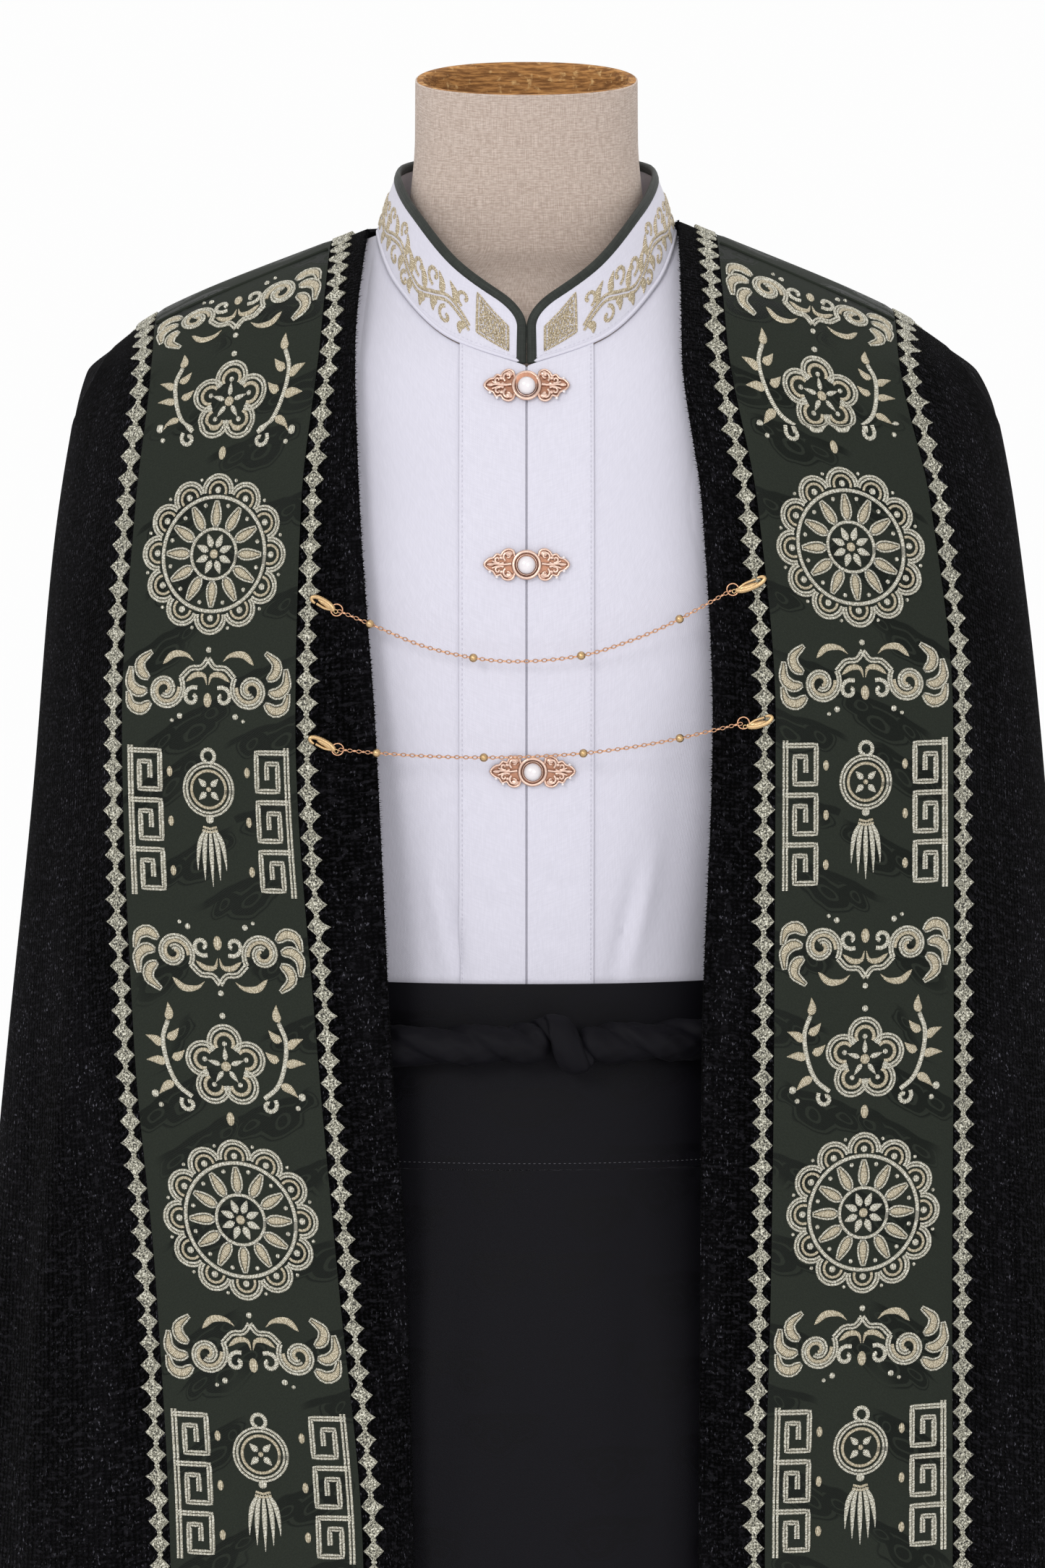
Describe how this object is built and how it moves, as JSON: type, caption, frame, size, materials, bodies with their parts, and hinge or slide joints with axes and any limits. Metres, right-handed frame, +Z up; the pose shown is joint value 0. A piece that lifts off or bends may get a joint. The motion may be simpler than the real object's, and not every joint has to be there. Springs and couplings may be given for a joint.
{
  "type": "shirt, cape and skirt set on a limbless dress form",
  "caption": "White stand-collar shirt, long black skirt and open black tweed cape with green bands, gold braid and bead chains, worn by a limbless dress form on a round base.",
  "frame": {"origin": "centre of the round base's underside, on the floor", "axes": "+Z up, the garment's front faces -Y, +X to the viewer's right and the wearer's left"},
  "size_m": [0.6271, 0.3694, 1.5108],
  "materials": {
    "tweed": "black boucle tweed",
    "jacquard": "dark green figured jacquard",
    "braid": "pale gold braid",
    "shirting": "smooth white shirting",
    "piping": "green binding",
    "satin": "black figured satin",
    "rose_gold": "polished rose gold plate",
    "pearl": "pearl",
    "linen": "natural linen",
    "steel": "satin grey paint",
    "gold_thread": "pale gold embroidery thread"
  },
  "bodies": {
    "root": {"band_back": "jacquard", "band_front_left": "jacquard", "band_front_right": "jacquard", "cape_back": "tweed", "cape_front_left": "tweed", "cape_front_right": "tweed", "chain_lower": "rose_gold", "chain_upper": "rose_gold", "clasp_lower_left": "rose_gold", "clasp_lower_right": "rose_gold", "clasp_upper_left": "rose_gold", "clasp_upper_right": "rose_gold", "collar_binding": "piping", "form_base": "steel", "form_pole": "steel", "form_torso": "linen", "frog_pearl_1": "pearl", "frog_pearl_2": "pearl", "frog_pearl_3": "pearl", "frog_plate_1": "rose_gold", "frog_plate_2": "rose_gold", "frog_plate_3": "rose_gold", "shirt_back": "shirting", "shirt_collar": "shirting", "shirt_cuff_left": "shirting", "shirt_cuff_right": "shirting", "shirt_front_left": "shirting", "shirt_front_right": "shirting", "shirt_placket_left": "shirting", "shirt_placket_right": "shirting", "shirt_sleeve_left": "shirting", "shirt_sleeve_right": "shirting", "skirt_back": "satin", "skirt_front": "satin", "skirt_waistband": "satin", "tie_knot": "satin", "trim_inner_back": "braid", "trim_inner_left": "braid", "trim_inner_right": "braid", "trim_outer_back": "braid", "trim_outer_left": "braid", "trim_outer_right": "braid", "waist_tie": "satin"}
  },
  "joints": []
}
